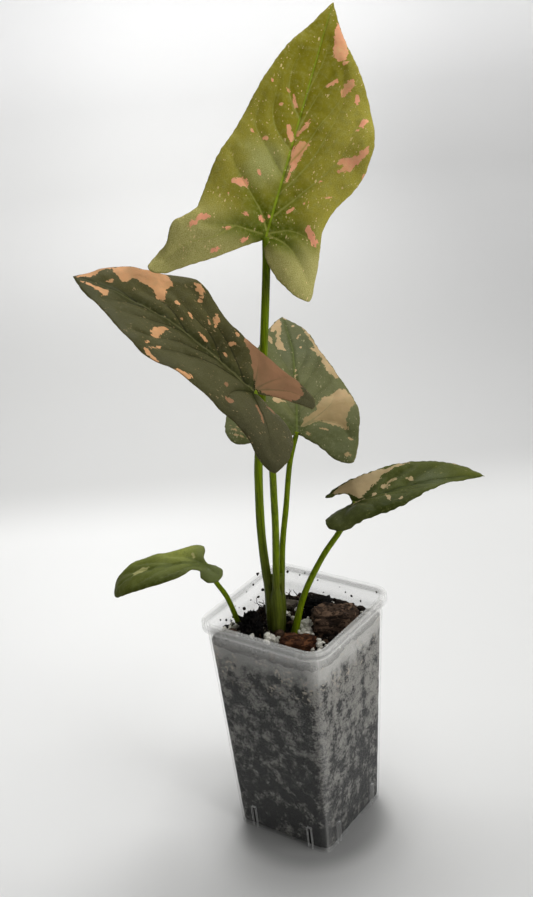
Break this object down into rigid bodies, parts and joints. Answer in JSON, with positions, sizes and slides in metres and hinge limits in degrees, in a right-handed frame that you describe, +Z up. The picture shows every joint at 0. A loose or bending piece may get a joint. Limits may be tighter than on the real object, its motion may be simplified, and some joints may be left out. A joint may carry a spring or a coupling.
{
  "type": "arrowhead plant",
  "caption": "Potted arrowhead plant with long-stalked arrow-shaped variegated leaves in a narrow square translucent nursery pot of bark mix",
  "frame": {"origin": "the middle of the pot's flat underside", "axes": "+Z up along the plant; the pot's four sides face along +X, -X, +Y and -Y; the two sides seen in the picture are -Y (wide) and +X (narrow)"},
  "size_m": [0.1389, 0.1544, 0.3847],
  "materials": {
    "pot_plastic": "translucent milky polypropylene, slightly streaked",
    "potting_mix": "loose dark bark and fibre mix with pale grains",
    "bark": "rough brown bark",
    "bark_red": "rough red-brown bark",
    "bark_dark": "near-black bark",
    "bark_grey": "grey-tan bark flake",
    "perlite": "matte white expanded grain",
    "stem_base": "satin olive green",
    "petiole": "satin green with fine darker streaks",
    "leaf_young": "satin yellow-green with pink patches and cream specks",
    "leaf_mature": "satin dark grey-green with peach patches",
    "leaf_mature_back": "satin grey-green with tan patches",
    "leaf_low_right": "satin dark green with a cream-tan half near the base",
    "leaf_low_left": "satin mid green, yellower at the edges"
  },
  "bodies": {
    "root": {"pot": "pot_plastic", "potting_mix": "potting_mix", "bark_right": "bark", "bark_front": "bark_red", "bark_back": "bark_dark", "bark_left": "bark_dark", "bark_flake": "bark_grey", "perlite_1": "perlite", "perlite_2": "perlite", "perlite_3": "perlite", "crown": "stem_base", "petiole_1": "petiole", "petiole_2": "petiole", "petiole_3": "petiole", "petiole_4": "petiole", "petiole_5": "petiole", "leaf_blade_1": "leaf_young", "leaf_blade_2": "leaf_mature", "leaf_blade_3": "leaf_mature_back", "leaf_blade_4": "leaf_low_right", "leaf_blade_5": "leaf_low_left"}
  },
  "joints": []
}
